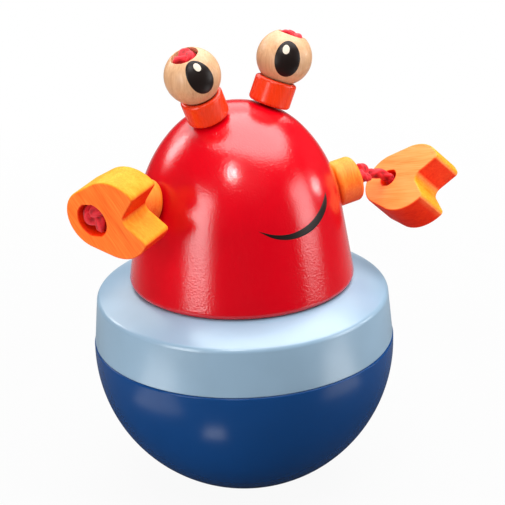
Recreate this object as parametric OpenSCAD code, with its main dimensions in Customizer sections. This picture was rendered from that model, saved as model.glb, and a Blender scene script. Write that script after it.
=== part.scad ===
// Crab tumbler toy: a weighted wooden half-ball that rights itself, with a dome,
// two ball eyes on bead stalks and two claws that hang on a knotted cord.
// The origin is the middle of the small flat that it stands on. The crab faces -Y and +Z is up.

/* [Base] */
// Diameter of the half-ball that the toy rocks on
base_d = 84; // [76:1:100]
// Diameter of the small flat turned under the half-ball, on which the toy stands still
base_foot_d = 8; // [4:0.5:14]
// Height of the straight band above the half-ball
base_band = 2.29; // [1.5:0.01:6]
// Rounding of the edges where the base meets the collar
seam_edge = 0.8; // [0.3:0.1:1.4]

/* [Ballast] */
// Diameter of the steel slug in the base
ballast_d = 44; // [34:1:46]
// Height of the steel slug
ballast_h = 22; // [14:1:24]
// Wood left under the slug
ballast_floor = 9; // [8.5:0.5:12]

/* [Collar] */
// Height of the collar between the base and the dome
collar_h = 17.1; // [12:0.1:24]
// Diameter of the collar at its lower edge
collar_low_d = 83; // [76:0.5:96]
// Diameter of the collar below its rounded upper edge
collar_top_d = 80.8; // [74:0.2:92]
// Rounding of the collar's upper edge
collar_edge = 2; // [0.5:0.1:4]

/* [Dowel] */
// Diameter of the dowel that joins the collar and the dome
dowel_d = 18; // [14:0.5:20]
// Length of the dowel inside the collar
dowel_in_collar = 20; // [12:1:24]
// Length of the dowel inside the dome
dowel_in_dome = 12; // [8:1:14]

/* [Dome] */
// Diameter of the dome at its foot, before the edge is rounded
dome_foot_d = 62.6; // [58:0.2:70]
// Taper of the dome's wall from upright, in degrees
dome_taper = 9.3; // [6:0.1:12]
// Length of the straight wall, measured along its slope
dome_wall = 23; // [18:0.5:28]
// Radius of the shoulder above the straight wall
dome_shoulder_r = 37.6; // [32:0.2:44]
// Slope angle at which the shoulder runs into the round crown
dome_crown_from = 42.2; // [36:0.2:48]
// Rounding of the dome's foot
dome_edge = 1.5; // [0.5:0.1:3]
// Height of the cord chamber above the dome's foot
chamber_h = 36; // [33:0.5:38]

/* [Eyes] */
// Sideways tilt of each eye from upright, in degrees
eye_tilt = 22; // [18:0.5:28]
// Forward lean of both eyes, in degrees
eye_lean = 3.5; // [0:0.5:10]
// Diameter of the ball eyes
eye_d = 15; // [13:0.5:17]
// Depth that a ball eye sinks into the cup of its stalk
eye_sink = 1.3; // [0.6:0.1:1.5]
// Diameter of the knot's counterbore in the top of an eye
eye_cup_d = 7.4; // [6.6:0.1:8.4]
// Height of the counterbore's floor above the middle of the eye
eye_cup_floor = 2.6; // [1.6:0.1:3.2]
// Diameter of the bead stalks under the eyes
stalk_d = 11.5; // [11.2:0.1:14]
// Length of the bead stalks
stalk_l = 7; // [5:0.1:10]
// Rounding of the stalks' edges
stalk_edge = 0.9; // [0.4:0.1:1]

/* [Arms] */
// Height of the left arm hole above the dome's foot
left_arm_rise = 27.2; // [20:0.2:29]
// Height of the right arm hole above the dome's foot
right_arm_rise = 21.8; // [20:0.2:29]
// Direction of the left arm hole round the dome, in degrees from +X
left_arm_turn_angle = 179; // [165:1:195]
// Direction of the right arm hole round the dome, in degrees from +X
right_arm_turn_angle = -9; // [-20:1:15]
// Diameter of the arm beads
arm_bead_d = 12.8; // [11:0.1:14]
// Length of the arm beads
arm_bead_l = 7.2; // [6:0.1:10]
// Rounding of the arm beads' edges
arm_bead_edge = 1.2; // [0.5:0.1:2]

/* [Claws] */
// Thickness of the claws
claw_t = 10; // [9.6:0.1:13]
// Radius of the claw's rear end, round its hole
claw_rear_r = 8.4; // [7.4:0.1:9.6]
// Radius of the claw's cheeks
claw_cheek_r = 11; // [10:0.1:12]
// Distance from the hole to the middle of the cheeks
claw_cheek_x = 7.2; // [6:0.1:9]
// Distance from the hole to the bottom of the jaw notch
notch_x = 10.7; // [9:0.1:12]
// Angle between the jaw wall and the claw's centre line, in degrees
notch_half = 44; // [38:1:50]
// Rounding at the bottom of the jaw notch
notch_r = 2.2; // [1:0.1:3]
// Rounding of the jaw tips
jaw_tip_r = 1.2; // [1:0.1:2]
// Rounding of the claw's flat edges
claw_edge = 0.7; // [0.3:0.1:0.9]
// Diameter of the hole that the cord comes in through
claw_bore_d = 5.1; // [4:0.1:6]
// Diameter of the knot's counterbore in the outer face
claw_cup_d = 9.1; // [8:0.1:10]
// Depth of the knot's counterbore
claw_cup_depth = 6; // [5.8:0.1:7]
// Chamfer at the mouths of the claw's and the arm bead's holes
mouth_edge = 0.4; // [0.2:0.1:0.7]

/* [Claw places] */
// Cord from the left bead to its bend
left_cord_out = 2.9; // [2.7:0.1:6]
// Cord from the left bend to the claw
left_cord_in = 1.3; // [1.1:0.1:5]
// Cord from the right bead to its bend
right_cord_out = 7.4; // [6:0.1:10]
// Cord from the right bend to the claw
right_cord_in = 4.7; // [3.6:0.1:8]
// Angle of the left claw's hole from straight up, in degrees
left_claw_drop_angle = 99.2; // [85:0.2:100]
// Angle of the right claw's hole from straight up, in degrees
right_claw_drop_angle = 133.6; // [90:0.2:140]
// Direction that the left claw's outer face looks in, in degrees from +X
left_claw_turn_angle = 202.9; // [180:0.1:203]
// Direction that the right claw's outer face looks in, in degrees from +X
right_claw_turn_angle = -4.8; // [-20:0.1:20]
// Turn of the left claw on its cord, in degrees
left_claw_roll_angle = 99.2; // [0:0.1:180]
// Turn of the right claw on its cord, in degrees
right_claw_roll_angle = -112.4; // [-180:0.1:0]

/* [Cord] */
// Diameter of the braided cord
cord_d = 3; // [2.4:0.1:3.2]
// Radius of the eye cord's bend inside the dome
cord_bend_r = 3.2; // [2.8:0.1:4]

/* [Hidden] */

// Fits and clearances
// Play of a glued or dropped-in fit, on the radius and at the seat
glue_gap = 0.1;
// Space between two pieces that turn on each other
turn_gap = 0.3;
// Space between an arm bead and the dome
bead_gap = 0.4;
// Play of the cord in a bore, on the radius
cord_play = 0.6;
// Length that every cutting tool runs past the face that it opens
overrun = 1;

// Fineness of the outlines
// Degrees between the points of a turned or rounded outline
arc_step = 4;
// Sides of a cord's section
cord_sides = 8;
$fn = 96;

// Heights along the axis
base_r = base_d / 2;
base_mid = sqrt(base_r ^ 2 - (base_foot_d / 2) ^ 2);
base_h = base_mid + base_band;
ballast_top = ballast_floor + ballast_h;
dome_z = base_h + collar_h;

// Dome outline: a straight wall, a shoulder arc and a crown arc, each tangent to the next
wall_h = dome_wall * cos(dome_taper);
wall_r = dome_foot_d / 2 - dome_wall * sin(dome_taper);
shoulder_x = wall_r - dome_shoulder_r * cos(dome_taper);
shoulder_z = wall_h - dome_shoulder_r * sin(dome_taper);
crown_r = shoulder_x / cos(dome_crown_from) + dome_shoulder_r;
crown_z = shoulder_z - shoulder_x * tan(dome_crown_from);

// Bores for the cord
bore_r = cord_d / 2 + cord_play;
chamber_r = dowel_d / 2 + glue_gap;

// Eye axis, measured from the middle of the crown
stalk_foot = crown_r + turn_gap;
stalk_top = stalk_foot + stalk_l;
eye_mid = stalk_top + eye_d / 2 - eye_sink;

// Knots: a three-lobed overhand turn that fits the counterbores
knot_strand_share = 0.33;
knot_lift_share = 0.3;
knot_core_share = 0.56;
eye_knot_r = eye_cup_d / 2 - turn_gap;
claw_knot_r = claw_cup_d / 2 - turn_gap;
// Degrees of the knot's turn that one piece of strand covers
knot_piece = 120;
// Degrees between the rings of a strand
knot_step = 12;

// Left and right values, in that order
arm_rise = [left_arm_rise, right_arm_rise];
arm_turn_angle = [left_arm_turn_angle, right_arm_turn_angle];
cord_out = [left_cord_out, right_cord_out];
cord_in = [left_cord_in, right_cord_in];
claw_drop_angle = [left_claw_drop_angle, right_claw_drop_angle];
claw_turn_angle = [left_claw_turn_angle, right_claw_turn_angle];
claw_roll_angle = [left_claw_roll_angle, right_claw_roll_angle];
LEFT = 0;
RIGHT = 1;
// Rings of one half of a free cord bend, of the arm cord's curve in the chamber and of the eye cord's bend
bend_rings = 5;
curve_rings = 12;
eye_rings = 17;
// Pull of the arm cord's curve in the chamber, as a share of the chamber's radius
curve_pull_share = 0.7;

// Colours as painted
base_blue = [0.06, 0.24, 0.45];
collar_blue = [0.67, 0.75, 0.84];
dome_red = [0.82, 0.02, 0.08];
stalk_orange = [0.95, 0.30, 0.10];
claw_orange = [0.98, 0.50, 0.20];
bare_wood = [0.89, 0.72, 0.55];
cord_red = [0.85, 0.13, 0.23];
steel_grey = [0.55, 0.56, 0.58];

// Points of an arc, from one angle to the other
function arc(mid, r, from, to) =
    let (steps = ceil(abs(to - from) / arc_step))
    [for (i = [0 : steps]) let (a = from + (to - from) * i / steps) mid + r * [cos(a), sin(a)]];

// Outline of a turned bead that stands on the ground plane
function bead_outline(d, l, edge) = concat(
    [[0, 0]],
    arc([d / 2 - edge, edge], edge, -90, 0),
    arc([d / 2 - edge, l - edge], edge, 0, 90),
    [[0, l]]
);

// Half outline of the dome above its foot
function dome_outline() =
    let (edge_x = dome_foot_d / 2 - dome_edge * (1 + sin(dome_taper)) / cos(dome_taper))
    concat(
        [[0, 0]],
        arc([edge_x, dome_edge], dome_edge, -90, dome_taper),
        arc([shoulder_x, shoulder_z], dome_shoulder_r, dome_taper, dome_crown_from),
        arc([0, crown_z], crown_r, dome_crown_from, 90)
    );

// Radius and slope of the dome's wall at a height above its foot
function dome_r(h) = h <= wall_h
    ? dome_foot_d / 2 - h * tan(dome_taper)
    : shoulder_x + sqrt(dome_shoulder_r ^ 2 - (h - shoulder_z) ^ 2);
function dome_slope(h) = h <= wall_h ? dome_taper : asin((h - shoulder_z) / dome_shoulder_r);

// Unit direction from a drop angle off straight up and a turn about the axis
function heading(drop, turn) = [sin(drop) * cos(turn), sin(drop) * sin(turn), cos(drop)];

// Arm axis of one side: its foot on the dome, its direction and the outer end of its bead
function arm_drop(s) = 90 - dome_slope(arm_rise[s]);
function arm_dir(s) = heading(arm_drop(s), arm_turn_angle[s]);
function arm_foot(s) =
    let (r = dome_r(arm_rise[s]))
    [r * cos(arm_turn_angle[s]), r * sin(arm_turn_angle[s]), dome_z + arm_rise[s]];
// Length of an arm hole from the wall to the middle of the chamber
function arm_hole_l(s) = dome_r(arm_rise[s]) / sin(arm_drop(s)) - chamber_r / 2;
function bead_end(s) = arm_foot(s) + (bead_gap + arm_bead_l) * arm_dir(s);

// Free cord of one side: its bend and the claw hole that it runs to
function claw_dir(s) = heading(claw_drop_angle[s], claw_turn_angle[s]);
function cord_bend(s) = bead_end(s) + cord_out[s] * arm_dir(s);
function claw_hole(s) = cord_bend(s) + cord_in[s] * claw_dir(s);
function free_cord(s, t) =
    (1 - t) ^ 2 * bead_end(s) + 2 * t * (1 - t) * cord_bend(s) + t ^ 2 * claw_hole(s);
// Half of it, with a lead-in point past each end, so that the end faces stand square to the cord
function free_path(s, from, to) =
    [for (i = [-1 : bend_rings]) free_cord(s, from + (to - from) * i / (bend_rings - 1))];

// Point on a curve that four points steer
function steer(p, t) =
    (1 - t) ^ 3 * p[0] + 3 * t * (1 - t) ^ 2 * p[1] + 3 * t ^ 2 * (1 - t) * p[2] + t ^ 3 * p[3];

// Arm cord: straight through each bead and arm hole, with one curve in the chamber
function arm_inner(s) =
    arm_foot(s) - (norm([arm_foot(s).x, arm_foot(s).y]) - chamber_r) / sin(arm_drop(s)) * arm_dir(s);
function arm_path() =
    let (
        pull = curve_pull_share * chamber_r,
        legs = [
            arm_inner(LEFT), arm_inner(LEFT) - pull * arm_dir(LEFT),
            arm_inner(RIGHT) - pull * arm_dir(RIGHT), arm_inner(RIGHT)
        ]
    )
    concat(
        [bead_end(LEFT), arm_foot(LEFT)],
        [for (i = [0 : curve_rings]) steer(legs, i / curve_rings)],
        [arm_foot(RIGHT), bead_end(RIGHT)]
    );

// Eye cord in the plane of the eyes: down one bore, round a bend and up the other bore
function eye_knot_z() = eye_mid + eye_cup_floor + turn_gap + knot_half(eye_knot_r);
function eye_path() =
    let (
        top = eye_knot_z() * [sin(eye_tilt), 0, cos(eye_tilt)],
        mid = [0, 0, cord_bend_r / sin(eye_tilt)],
        turns = [for (i = [0 : eye_rings]) 180 + eye_tilt + (180 - 2 * eye_tilt) * i / eye_rings]
    )
    concat(
        [[-top.x, 0, top.z]],
        [for (a = turns) mid + cord_bend_r * [cos(a), 0, sin(a)]],
        [top]
    );

// Knot strand: a three-lobed turn in the plane that weaves up and down three times
function knot_half(r) = (knot_lift_share + knot_strand_share) * r;
function knot_point(r, a) =
    let (k = (1 - knot_strand_share) * r / 3)
    [k * (sin(a) + 2 * sin(2 * a)), k * (cos(a) - 2 * cos(2 * a)), -knot_lift_share * r * sin(3 * a)];

// Directions along a path, and the rings of a tube that follows it
function unit(v) = v / norm(v);
function path_dir(path, i) = unit(path[min(i + 1, len(path) - 1)] - path[max(i - 1, 0)]);
function tube_ring(mid, dir, across, r) =
    let (u = unit(cross(dir, across)), v = cross(u, dir))
    [for (i = [0 : cord_sides - 1]) let (a = 360 * i / cord_sides) mid + r * (cos(a) * u + sin(a) * v)];

// Half outline of a claw, from its rear end to the bottom of the notch, as points and outward directions
function claw_half() =
    let (
        flank = 90 + asin((claw_cheek_r - claw_rear_r) / claw_cheek_x),
        wall = [cos(notch_half), sin(notch_half)],
        out = [sin(notch_half), -cos(notch_half)],
        notch_mid = [notch_x + notch_r, 0],
        cheek_mid = [claw_cheek_x, 0],
        start = notch_mid - (notch_r + jaw_tip_r) * out,
        gap = start - cheek_mid,
        reach = sqrt((gap * wall) ^ 2 - gap * gap + (claw_cheek_r - jaw_tip_r) ^ 2) - gap * wall,
        tip = start + reach * wall,
        tip_from = atan2(tip.y, tip.x - claw_cheek_x)
    )
    concat(
        edge_arc([0, 0], claw_rear_r, 180, flank, 1),
        edge_arc(cheek_mid, claw_cheek_r, flank, tip_from, 1),
        edge_arc(tip, jaw_tip_r, tip_from, notch_half - 90, 1),
        edge_arc(notch_mid, notch_r, 90 + notch_half, 180, -1)
    );
// Points of an outline arc with their outward directions, which a hollow arc turns round
function edge_arc(mid, r, from, to, sign) =
    let (steps = ceil(abs(to - from) / (2 * arc_step)))
    [for (i = [0 : steps])
        let (a = from + (to - from) * i / steps, d = [cos(a), sin(a)])
        [mid + r * d, sign * d]];
// Whole outline: the half and its mirror image, without the two points on the centre line twice
function claw_outline() =
    let (half = claw_half(), n = len(half))
    concat(
        half,
        [for (i = [n - 2 : -1 : 1]) [[half[i][0].x, -half[i][0].y], [half[i][1].x, -half[i][1].y]]]
    );

// Turned piece from its half outline
module turned(outline) {
    rotate_extrude() polygon(outline);
}

// Place on the axis of one eye, with Z along it
module on_eye_axis(s) {
    translate([0, 0, dome_z + crown_z])
        rotate([eye_lean, 0, 0])
            rotate([0, s == LEFT ? -eye_tilt : eye_tilt, 0])
                children();
}

// Place at the foot of one arm, with Z along its axis
module on_arm_axis(s) {
    translate(arm_foot(s)) rotate([0, arm_drop(s), arm_turn_angle[s]]) children();
}

// Place at the hole of one claw, with Z through the claw and X towards its jaws
module on_claw_axis(s) {
    translate(claw_hole(s))
        rotate([0, claw_drop_angle[s], claw_turn_angle[s]])
            rotate([0, 0, claw_roll_angle[s]])
                children();
}

// Cutter for the chamfered mouth of a hole at a height, opening up (1) or down (-1)
module mouth(r, z, way) {
    translate([0, 0, z])
        mirror([0, 0, way > 0 ? 0 : 1])
            translate([0, 0, -mouth_edge])
                cylinder(r1 = r, r2 = r + mouth_edge + overrun, h = mouth_edge + overrun);
}

// Round tube along a path, which may have a lead-in point at each end that only steers its end faces
module tube(path, r, across, lead_in = 0) {
    n = len(path) - 2 * lead_in;
    rings = [for (i = [lead_in : lead_in + n - 1]) each tube_ring(path[i], path_dir(path, i), across, r)];
    sides = [for (i = [0 : n - 2], j = [0 : cord_sides - 1])
        let (a = i * cord_sides + j, b = i * cord_sides + (j + 1) % cord_sides)
        each [[a, b, b + cord_sides], [a, b + cord_sides, a + cord_sides]]];
    ends = [
        [for (j = [cord_sides - 1 : -1 : 0]) j],
        [for (j = [0 : cord_sides - 1]) (n - 1) * cord_sides + j]
    ];
    polyhedron(rings, concat(sides, ends));
}

// Overhand knot, laid flat about its middle and pressed to its height, with the cord's end in its core
module knot(r) {
    resize([0, 0, 2 * knot_half(r)]) {
        for (from = [0 : knot_piece : 360 - knot_piece])
            tube(
                [for (a = [from - knot_step : knot_step : from + knot_piece + knot_step]) knot_point(r, a)],
                knot_strand_share * r,
                [0, 0, 1],
                1
            );
        sphere(r = knot_core_share * r, $fn = 2 * cord_sides);
    }
}

module base_bowl() {
    color(base_blue)
        difference() {
            turned(concat(
                [[0, 0]],
                arc([0, base_mid], base_r, asin(base_foot_d / base_d) - 90, 0),
                arc([base_r - seam_edge, base_h - seam_edge], seam_edge, 0, 90),
                [[0, base_h]]
            ));
            translate([0, 0, ballast_floor])
                cylinder(d = ballast_d + 2 * glue_gap, h = base_h);
        }
}

module ballast_weight() {
    color(steel_grey)
        translate([0, 0, ballast_floor])
            cylinder(d = ballast_d, h = ballast_h);
}

module collar_disc() {
    spigot_z = ballast_top + glue_gap;
    color(collar_blue)
        difference() {
            turned(concat(
                [[0, spigot_z], [ballast_d / 2, spigot_z], [ballast_d / 2, base_h]],
                arc([collar_low_d / 2 - seam_edge, base_h + seam_edge], seam_edge, -90, 0),
                arc([collar_top_d / 2 - collar_edge, dome_z - collar_edge], collar_edge, 0, 90),
                [[0, dome_z]]
            ));
            translate([0, 0, dome_z - dowel_in_collar - glue_gap])
                cylinder(r = chamber_r, h = dowel_in_collar + glue_gap + overrun);
        }
}

module centre_dowel() {
    color(bare_wood)
        translate([0, 0, dome_z - dowel_in_collar])
            turned(bead_outline(dowel_d, dowel_in_collar + dowel_in_dome, seam_edge));
}

module dome_body() {
    color(dome_red)
        difference() {
            translate([0, 0, dome_z]) turned(dome_outline());
            translate([0, 0, dome_z - overrun]) cylinder(r = chamber_r, h = chamber_h + overrun);
            for (s = [LEFT, RIGHT]) {
                on_eye_axis(s) translate([0, 0, cord_bend_r]) cylinder(r = bore_r, h = crown_r);
                on_arm_axis(s)
                    translate([0, 0, -arm_hole_l(s)])
                        cylinder(r = bore_r, h = arm_hole_l(s) + overrun);
            }
        }
}

module eye_cord() {
    color(cord_red) {
        translate([0, 0, dome_z + crown_z])
            rotate([eye_lean, 0, 0])
                tube(eye_path(), cord_d / 2, [0, 1, 0]);
        for (s = [LEFT, RIGHT])
            on_eye_axis(s) translate([0, 0, eye_knot_z()]) knot(eye_knot_r);
    }
}

module eye_stalk(s) {
    color(stalk_orange)
        on_eye_axis(s)
            difference() {
                translate([0, 0, stalk_foot]) turned(bead_outline(stalk_d, stalk_l, stalk_edge));
                translate([0, 0, eye_mid]) sphere(d = eye_d + 2 * turn_gap);
                translate([0, 0, stalk_foot - overrun]) cylinder(r = bore_r, h = stalk_l);
            }
}

module eye_ball(s) {
    color(bare_wood)
        on_eye_axis(s)
            translate([0, 0, eye_mid])
                difference() {
                    sphere(d = eye_d);
                    translate([0, 0, -eye_d]) cylinder(r = bore_r, h = 2 * eye_d);
                    translate([0, 0, eye_cup_floor]) cylinder(d = eye_cup_d, h = eye_d);
                }
}

module arm_cord() {
    color(cord_red) tube(arm_path(), cord_d / 2, [0, 1, 0]);
}

module arm_bead(s) {
    color(claw_orange)
        on_arm_axis(s)
            translate([0, 0, bead_gap])
                difference() {
                    turned(bead_outline(arm_bead_d, arm_bead_l, arm_bead_edge));
                    translate([0, 0, -overrun]) cylinder(r = bore_r, h = arm_bead_l + 2 * overrun);
                    mouth(bore_r, 0, -1);
                    mouth(bore_r, arm_bead_l, 1);
                }
}

module cord_inner(s) {
    color(cord_red) tube(free_path(s, 0, 1 / 2), cord_d / 2, [0, 1, 0], 1);
}

module cord_outer(s) {
    color(cord_red) tube(free_path(s, 1 / 2, 1), cord_d / 2, [0, 1, 0], 1);
}

module cord_knot(s) {
    knot_z = claw_t - claw_cup_depth + turn_gap + knot_half(claw_knot_r);
    color(cord_red)
        on_claw_axis(s) {
            cylinder(d = cord_d, h = knot_z);
            translate([0, 0, knot_z]) knot(claw_knot_r);
        }
}

// Flat claw with rounded edges, lofted through inset copies of its outline
module claw(s) {
    outline = claw_outline();
    n = len(outline);
    levels = concat(
        [for (a = [90 : -30 : 0]) [claw_edge * (1 - cos(a)), claw_edge * (1 - sin(a))]],
        [for (a = [0 : 30 : 90]) [claw_edge * (1 - cos(a)), claw_t - claw_edge * (1 - sin(a))]]
    );
    rings = [for (l = levels, p = outline) let (q = p[0] - l[0] * p[1]) [q.x, q.y, l[1]]];
    sides = [for (i = [0 : len(levels) - 2], j = [0 : n - 1])
        let (a = i * n + j, b = i * n + (j + 1) % n)
        each [[a, b, b + n], [a, b + n, a + n]]];
    faces = concat(
        sides,
        [[for (j = [n - 1 : -1 : 0]) j], [for (j = [0 : n - 1]) (len(levels) - 1) * n + j]]
    );
    color(claw_orange)
        on_claw_axis(s)
            difference() {
                polyhedron(rings, faces);
                translate([0, 0, -overrun]) cylinder(d = claw_bore_d, h = claw_t);
                translate([0, 0, claw_t - claw_cup_depth])
                    cylinder(d = claw_cup_d, h = claw_cup_depth + overrun);
                mouth(claw_bore_d / 2, 0, -1);
                mouth(claw_cup_d / 2, claw_t, 1);
            }
}

base_bowl();
ballast_weight();
collar_disc();
centre_dowel();
dome_body();
eye_cord();
eye_stalk(LEFT);  // left_eye_stalk
eye_stalk(RIGHT);  // right_eye_stalk
eye_ball(LEFT);  // left_eye
eye_ball(RIGHT);  // right_eye
arm_cord();
arm_bead(LEFT);  // left_arm_bead
arm_bead(RIGHT);  // right_arm_bead
cord_inner(LEFT);  // left_cord_inner
cord_outer(LEFT);  // left_cord_outer
cord_knot(LEFT);  // left_cord_knot
claw(LEFT);  // left_claw
cord_inner(RIGHT);  // right_cord_inner
cord_outer(RIGHT);  // right_cord_outer
cord_knot(RIGHT);  // right_cord_knot
claw(RIGHT);  // right_claw
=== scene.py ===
# %% [markdown]
# # A roly-poly crab of turned wood
# The toy is a weighted half-ball with a collar, a red dome, two ball eyes on bead stalks and
# two flat claws that hang on a knotted cord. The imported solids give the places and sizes; the
# picture adds a sloped top on the collar, finer edges and a stopper knot. This lesson dresses
# the solids: each piece is a smooth surface worked out with numpy, in millimetres, and put
# into the frame in metres. Left and right are as seen in the picture.

# %% Load the frame
import math

import bpy
import numpy as np
from mathutils import Matrix


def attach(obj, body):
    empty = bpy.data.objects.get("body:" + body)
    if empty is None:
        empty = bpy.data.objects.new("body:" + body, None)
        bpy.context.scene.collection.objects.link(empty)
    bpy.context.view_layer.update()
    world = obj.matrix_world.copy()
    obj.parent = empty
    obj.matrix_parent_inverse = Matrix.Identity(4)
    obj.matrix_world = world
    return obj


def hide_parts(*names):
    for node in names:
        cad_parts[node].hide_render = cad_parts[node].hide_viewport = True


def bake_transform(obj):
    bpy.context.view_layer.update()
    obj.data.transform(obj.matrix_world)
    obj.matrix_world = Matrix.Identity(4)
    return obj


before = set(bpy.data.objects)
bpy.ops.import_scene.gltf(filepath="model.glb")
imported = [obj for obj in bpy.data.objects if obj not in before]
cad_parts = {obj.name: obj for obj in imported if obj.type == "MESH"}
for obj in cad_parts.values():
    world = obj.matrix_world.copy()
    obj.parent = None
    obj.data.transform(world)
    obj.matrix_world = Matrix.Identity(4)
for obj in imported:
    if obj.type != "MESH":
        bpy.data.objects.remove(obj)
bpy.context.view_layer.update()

MM = 0.001

# %% [markdown]
# ## Camera
# The picture was taken from a little above and from the left of the toy's front, with a long
# lens. The camera could be turned by three angles, but a matrix made from its own three
# directions says the same and shows where each comes from. A small roll leans the toy, as it
# leans in the picture, and the lens is aimed so that the ball's middle falls on its pixel.

# %% Directions and poses
UP = np.array([0.0, 0.0, 1.0])


def unit(v):
    """A vector, or each row of an array of vectors, divided by its own length."""
    v = np.asarray(v, float)
    return v / np.linalg.norm(v, axis=-1, keepdims=True)


def heading(azimuth, elevation):
    """Direction at an azimuth from -Y towards +X and at an elevation, both in degrees."""
    a, e = np.radians([azimuth, elevation])
    return np.array([math.sin(a) * math.cos(e), -math.cos(a) * math.cos(e), math.sin(e)])


def pose(axes, at):
    """Matrix of an object from its own X, Y and Z directions and its place in millimetres."""
    matrix = np.eye(4)
    matrix[:3, :3] = np.stack(axes, axis=1)
    matrix[:3, 3] = np.asarray(at) * MM
    return Matrix(matrix.tolist())


print("the crab faces", heading(0, 0).round(1))

# %% Camera
BALL_R = 42.0
FRAME_PX, FOCAL_PX, SENSOR = 505.0, 1696.0, 36.0
AZIMUTH, ELEVATION, ROLL, AWAY = -31.5, 24.95, -2.0, 480.0
BALL_PX = (244.2, 338.0)

back = heading(AZIMUTH, ELEVATION)
level = unit(np.cross(UP, back))
roll = math.radians(ROLL)
across = level * math.cos(roll) + np.cross(back, level) * math.sin(roll)
stand_at = BALL_R * UP + AWAY * back
aim_x = (FRAME_PX / 2 - BALL_PX[0]) / FOCAL_PX
aim_y = (BALL_PX[1] - FRAME_PX / 2) / FOCAL_PX
back = unit(back - aim_x * across - aim_y * np.cross(back, across))
across = unit(across - (across @ back) * back)

camera = bpy.data.objects.new("camera", bpy.data.cameras.new("camera"))
bpy.context.collection.objects.link(camera)
camera.data.sensor_width = SENSOR
camera.data.lens = SENSOR * FOCAL_PX / FRAME_PX
camera.data.clip_start = 10 * MM
camera.matrix_world = pose((across, np.cross(back, across), back), stand_at)
bpy.context.scene.camera = camera
bpy.context.scene.view_settings.view_transform = "Standard"
print("lens", round(camera.data.lens, 1), "mm, from", stand_at.round(0))

# %% [markdown]
# ## From a grid of points to a piece
# Every piece is a grid of points: rows along its profile or path, columns round it. One
# helper turns a grid into faces. It joins neighbours by quads, closes the grid where it
# wraps, and merges rows that shrink to one point into a pole. A closed piece has its faces
# turned outwards by the sign of its volume, which needs no guess about the grid's direction.
# A second helper makes the mesh, puts it on its body and hides the solid that it stands for.

# %% Grid helpers
ROUND_WAY, BOTH_WAYS = (False, True), (True, True)
CREASE, SMOOTH_ALL = 38, 180
DIGITS = 5


def faces_of(grid, wrap):
    """Points of a grid without repeats, their first places in it, its faces and its volume."""
    rows, cols = grid.shape[:2]
    i = np.arange(rows if wrap[0] else rows - 1)[:, None]
    j = np.arange(cols if wrap[1] else cols - 1)[None, :]
    i2, j2 = (i + 1) % rows, (j + 1) % cols
    corners = np.stack([i * cols + j, i * cols + j2, i2 * cols + j2, i2 * cols + j], -1).reshape(-1, 4)
    flat = np.round(grid.reshape(-1, 3), DIGITS)
    points, first, same = np.unique(flat, axis=0, return_index=True, return_inverse=True)
    corners = same.reshape(-1)[corners]
    fan = np.stack([points[corners[:, k]] for k in range(4)])
    volume = np.sum(fan[0] * (np.cross(fan[1], fan[2]) + np.cross(fan[2], fan[3]))) / 6
    if volume < 0:
        corners = corners[:, ::-1]
    repeats = corners == np.roll(corners, -1, axis=1)
    single = repeats.sum(axis=1) == 1
    keep = np.argsort(repeats[single], axis=1, kind="stable")[:, :3]
    triangles = np.take_along_axis(corners[single], np.sort(keep, axis=1), axis=1)
    quads = corners[repeats.sum(axis=1) == 0]
    return points, first, quads.tolist() + triangles.tolist(), abs(volume)


def make_piece(
    name, grid, body, finish, stands_for=(), wrap=ROUND_WAY, marks=None, crease=CREASE
):
    """Piece of a grid in millimetres: its mesh, marks on its points, finish and body; the solids it stands
    for are hidden.
    """
    points, first, faces, volume = faces_of(grid, wrap)
    mesh = bpy.data.meshes.new(name)
    mesh.from_pydata(points * MM, [], faces)
    for label, values in (marks or {}).items():
        layer = mesh.attributes.new(label, "FLOAT", "POINT")
        layer.data.foreach_set("value", np.asarray(values, np.float32).reshape(-1)[first])
    mesh.polygons.foreach_set("use_smooth", np.ones(len(mesh.polygons), bool))
    mesh.set_sharp_from_angle(angle=math.radians(crease))
    mesh.materials.append(finish)
    piece = bpy.data.objects.new(name, mesh)
    bpy.context.collection.objects.link(piece)
    if stands_for:
        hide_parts(*stands_for)
    if isinstance(body, str):
        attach(piece, body)
    print(name, len(mesh.polygons), "faces,", round(volume, 1), "mm3")
    return piece


print("grids become pieces, with points kept to", 10.0**-DIGITS, "mm")

# %% [markdown]
# ## Finishes from nodes
# A finish is a graph of small nodes that ends in one shader. It could be drawn by hand in the
# editor, but helpers that add one node each say the same graph in a few lines. Every pattern
# is noise on the object's own coordinates, so it stays put when a piece turns.

# %% Node helpers
def linear(r, g, b):
    """Screen colour 0 to 255 as the linear colour that a shader takes."""
    c = np.array([r, g, b]) / 255.0
    return tuple(np.where(c <= 0.04045, c / 12.92, ((c + 0.055) / 1.055) ** 2.4)) + (1.0,)


def shade(colour, share):
    """A linear colour made darker or lighter by a share."""
    return tuple(min(1.0, c * share) for c in colour[:3]) + (1.0,)


def new_finish(name):
    """A new material with its node tree and its shader."""
    finish = bpy.data.materials.new(name)
    finish.use_nodes = True
    return finish, finish.node_tree, finish.node_tree.nodes["Principled BSDF"]


def add(tree, kind, feeds=None, **settings):
    """One node: settings are its own values, feeds are socket values or sockets to link."""
    node = tree.nodes.new(kind)
    for key, value in settings.items():
        setattr(node, key, value)
    for key, value in (feeds or {}).items():
        if isinstance(value, bpy.types.NodeSocket):
            tree.links.new(value, node.inputs[key])
        else:
            node.inputs[key].default_value = value
    return node


def noise(tree, waves, detail, stretch=(1, 1, 1), angles=(0, 0, 0), distort=0.0):
    """Noise of so many waves a metre on object coordinates, stretched along the turned axes."""
    place = add(tree, "ShaderNodeTexCoord").outputs["Object"]
    place = add(tree, "ShaderNodeMapping", {"Vector": place, "Rotation": angles}).outputs["Vector"]
    place = add(tree, "ShaderNodeMapping", {"Vector": place, "Scale": stretch}).outputs["Vector"]
    feeds = {"Vector": place, "Scale": waves, "Detail": detail, "Distortion": distort}
    return add(tree, "ShaderNodeTexNoise", feeds).outputs["Fac"]


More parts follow.
